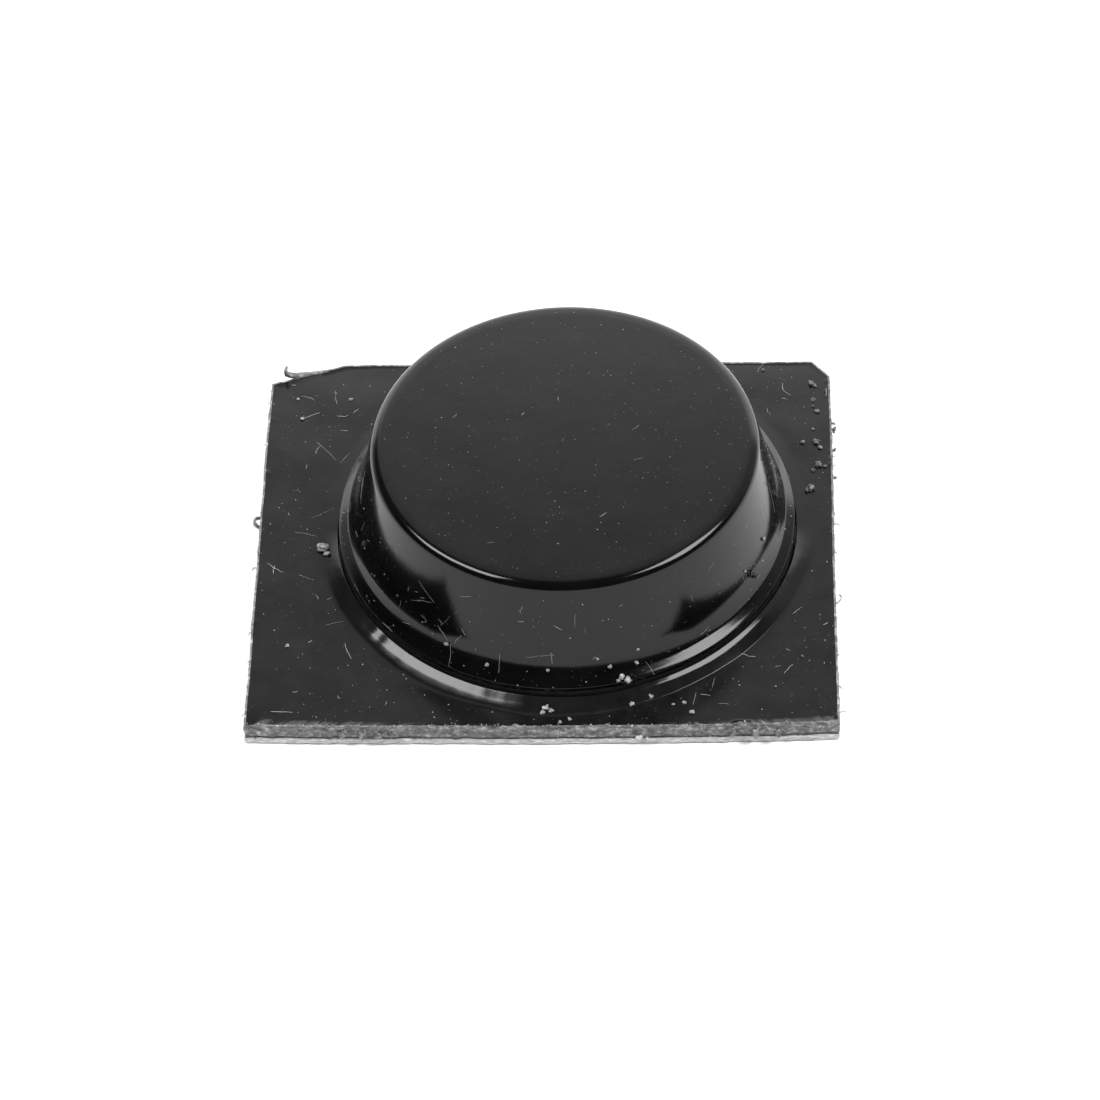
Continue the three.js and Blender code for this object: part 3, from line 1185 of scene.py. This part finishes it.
scatter_dust()
scatter_lint()
scatter_crumbs()
scatter_shreds()


# ------------------------------ floor, light and camera
FLOOR_SIZE = 900
FLOOR_STEPS = 24
FLOOR_DROP = 0.02  # the floor is this far under the liner, so that they don't share a plane

# The world's greys, by the Y of a direction.
WORLD_STOPS = [
    (0.05, 0.015), (0.35, 0.165), (0.64, 0.23), (0.67, 0.235),
    (0.69, 0.4), (0.71, 0.8), (0.74, 1),
]
WORLD_STRENGTH = 3.0
# The upper left is shaded to this level, between two bounds of a direction's X times its Z.
SHADE_LEVEL = 0.12
SHADE_FULL = -0.3
SHADE_NONE = -0.16

CAMERA_DISTANCE = 131.14
CAMERA_ELEVATION = radians(47.95)
CAMERA_YAW = radians(-3.048)
CAMERA_ROLL = radians(2.672)
CAMERA_LENS = 156.8
SENSOR_WIDTH = 36
AIM_RIGHT = -0.524
AIM_BACK = -0.821


def build_floor():
    verts = []
    for i in range(FLOOR_STEPS + 1):
        for j in range(FLOOR_STEPS + 1):
            x = FLOOR_SIZE * (2 * i / FLOOR_STEPS - 1)
            y = FLOOR_SIZE * (2 * j / FLOOR_STEPS - 1)
            verts.append((x, y, -FLOOR_DROP))
    faces = []
    row = FLOOR_STEPS + 1
    for i in range(FLOOR_STEPS):
        for j in range(FLOOR_STEPS):
            a = i * row + j
            faces.append((a, a + row, a + row + 1, a + 1))
    material, nodes, links = new_material("floor_card")
    shader = nodes["Principled BSDF"]
    shader.inputs["Roughness"].default_value = 0.8
    shader.inputs["Specular IOR Level"].default_value = 0.0
    fibre = noise_node(nodes, links, scale=2.0, detail=4.0, rough=0.6)
    stops = [(NOISE_LOW, 0.89), (NOISE_HIGH, 0.91)]
    colour = ramp_node(nodes, links, fibre.outputs["Fac"], stops)
    links.new(colour.outputs["Color"], shader.inputs["Base Color"])
    made = make_object("floor", verts, faces, [material], smooth=False)


def build_world():
    """Bright behind, grey above that, dark overhead and in front, and shaded on the upper left."""
    world = bpy.data.worlds.new("studio")
    bpy.context.scene.world = world
    world.use_nodes = True
    nodes = world.node_tree.nodes
    links = world.node_tree.links
    coords = nodes.new("ShaderNodeTexCoord")
    parts = nodes.new("ShaderNodeSeparateXYZ")
    links.new(coords.outputs["Generated"], parts.inputs["Vector"])
    ramp = ramp_node(nodes, links, parts.outputs["Y"], WORLD_STOPS)
    aside = nodes.new("ShaderNodeMath")
    aside.operation = "MULTIPLY"
    links.new(parts.outputs["X"], aside.inputs[0])
    links.new(parts.outputs["Z"], aside.inputs[1])
    shade = nodes.new("ShaderNodeMapRange")
    shade.interpolation_type = "SMOOTHSTEP"
    set_range(shade, (SHADE_FULL, SHADE_NONE), (SHADE_LEVEL, 1.0))
    links.new(aside.outputs["Value"], shade.inputs["Value"])
    shaded = nodes.new("ShaderNodeVectorMath")
    shaded.operation = "SCALE"
    links.new(ramp.outputs["Color"], shaded.inputs[0])
    links.new(shade.outputs["Result"], shaded.inputs["Scale"])
    links.new(shaded.outputs["Vector"], nodes["Background"].inputs["Color"])
    nodes["Background"].inputs["Strength"].default_value = WORLD_STRENGTH


def build_panel(name, place, width, depth, turn, brightness):
    """A soft panel centred on its place in metres and facing straight down."""
    light = bpy.data.lights.new(name, "AREA")
    light.shape = "RECTANGLE"
    light.size = width
    light.size_y = depth
    light.energy = brightness * pi * width * depth
    made = bpy.data.objects.new(name, light)
    made.location = place
    made.rotation_euler = (0, 0, radians(turn))
    bpy.context.scene.collection.objects.link(made)


def build_camera():
    yaw = Matrix.Rotation(-CAMERA_YAW, 3, "Z")
    right = yaw @ Vector((1, 0, 0))
    ahead = yaw @ Vector((0, 1, 0))
    forward = ahead * cos(CAMERA_ELEVATION) - Vector((0, 0, sin(CAMERA_ELEVATION)))
    up = right.cross(forward)
    target = right * AIM_RIGHT + ahead * AIM_BACK + Vector((0, 0, WEB_TOP))
    turned_right = right * cos(CAMERA_ROLL) - up * sin(CAMERA_ROLL)
    turned_up = right * sin(CAMERA_ROLL) + up * cos(CAMERA_ROLL)
    spot = (target - forward * CAMERA_DISTANCE) * MM
    camera = bpy.data.cameras.new("camera")
    camera.sensor_width = SENSOR_WIDTH
    camera.lens = CAMERA_LENS
    camera.clip_start = 0.005
    camera.clip_end = 10
    made = bpy.data.objects.new("camera", camera)
    axes = Matrix((turned_right, turned_up, -forward)).transposed()
    made.matrix_world = Matrix.Translation(spot) @ axes.to_4x4()
    bpy.context.scene.collection.objects.link(made)
    bpy.context.scene.camera = made


build_floor()
build_world()
build_panel("left_panel", (-0.72, -0.11, 1), width=0.76, depth=0.48, turn=-37, brightness=15)
build_panel("right_panel", (0.83, -0.115, 1), width=0.76, depth=0.67, turn=0, brightness=14.5)
build_camera()

view = bpy.context.scene.view_settings
view.view_transform = "Standard"
view.look = "None"
view.exposure = 0
view.gamma = 1
